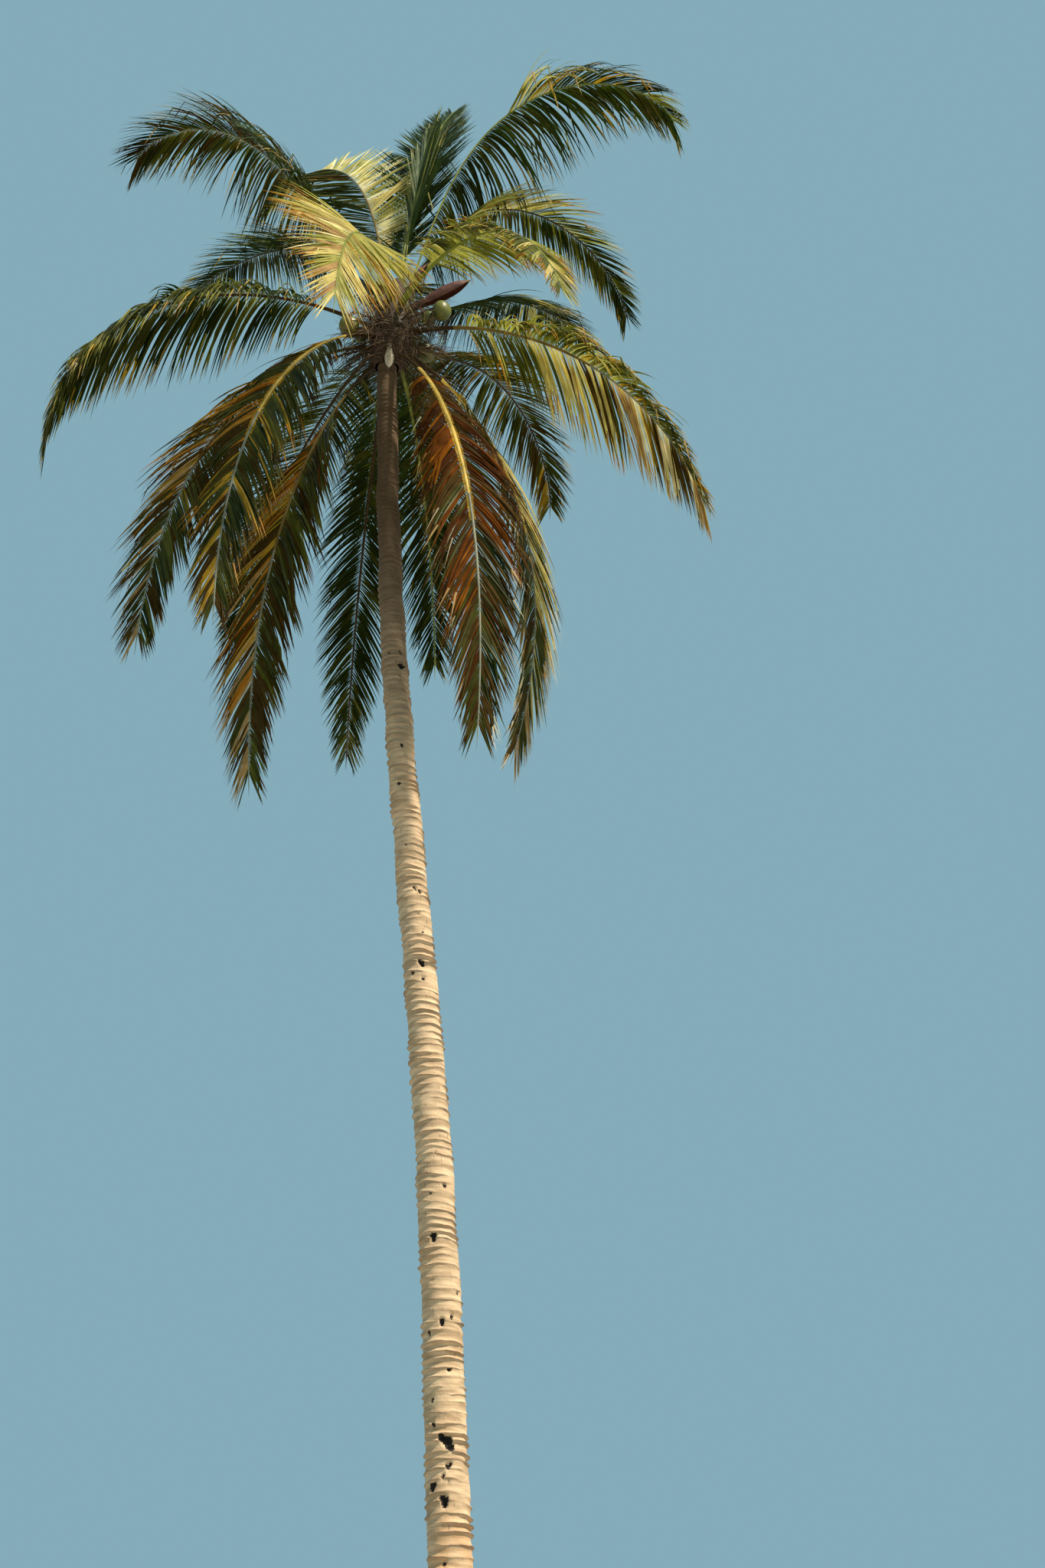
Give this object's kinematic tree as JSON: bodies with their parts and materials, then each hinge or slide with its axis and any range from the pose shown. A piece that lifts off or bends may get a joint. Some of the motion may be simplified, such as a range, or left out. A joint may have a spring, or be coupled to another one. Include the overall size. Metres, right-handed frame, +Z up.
{
  "type": "coconut palm tree",
  "caption": "Tall coconut palm rooted in level ground, with a leaning ringed trunk, drooping feather fronds, young nuts and woody flower bracts.",
  "frame": {"origin": "middle of the trunk's flat foot, at ground level", "axes": "+Z up, the trunk leans towards -X, the picture looks along +Y"},
  "size_m": [6.7659, 7.5104, 23.0953],
  "materials": {
    "bark": "dry, matt, ringed bark",
    "heart_fibre": "dry brown fibre and leaf bases",
    "nut_husk": "smooth waxy husk",
    "bract_wood": "dry ribbed wood",
    "bract_dry": "bleached, ribbed and dry",
    "leaf_young": "satin",
    "leaf_deep_green": "satin",
    "leaf_olive": "satin",
    "leaf_pale": "satin",
    "leaf_gold": "satin, drying at the edges",
    "leaf_rust": "satin, dried red brown",
    "leaf_shade": "satin"
  },
  "bodies": {
    "root": {"trunk": "bark", "heart": "heart_fibre", "nuts_left": "nut_husk", "nuts_young": "nut_husk", "nuts_right": "nut_husk", "nuts_back": "nut_husk", "bract_right": "bract_wood", "bract_upper": "bract_wood", "bract_dry": "bract_dry", "frond_spear": "leaf_young", "frond_01": "leaf_deep_green", "frond_02": "leaf_deep_green", "frond_03_inner": "leaf_pale", "frond_03_outer": "leaf_pale", "frond_04_inner": "leaf_olive", "frond_04_outer": "leaf_olive", "frond_05_inner": "leaf_olive", "frond_05_outer": "leaf_olive", "frond_06_inner": "leaf_olive", "frond_06_outer": "leaf_olive", "frond_07": "leaf_deep_green", "frond_08_inner": "leaf_deep_green", "frond_08_outer": "leaf_deep_green", "frond_09_inner": "leaf_pale", "frond_09_outer": "leaf_pale", "frond_10_inner": "leaf_pale", "frond_10_outer": "leaf_pale", "frond_11_inner": "leaf_deep_green", "frond_11_outer": "leaf_deep_green", "frond_12": "leaf_deep_green", "frond_13_inner": "leaf_olive", "frond_13_outer": "leaf_olive", "frond_14_inner": "leaf_olive", "frond_14_outer": "leaf_olive", "frond_15_inner": "leaf_gold", "frond_15_outer": "leaf_gold", "frond_16_inner": "leaf_olive", "frond_16_outer": "leaf_olive", "frond_17_inner": "leaf_gold", "frond_17_outer": "leaf_gold", "frond_18_inner": "leaf_olive", "frond_18_outer": "leaf_olive", "frond_19_inner": "leaf_gold", "frond_19_outer": "leaf_gold", "frond_20_inner": "leaf_olive", "frond_20_outer": "leaf_olive", "frond_21_inner": "leaf_shade", "frond_21_outer": "leaf_shade", "frond_22": "leaf_rust", "frond_23": "leaf_rust"}
  },
  "joints": []
}
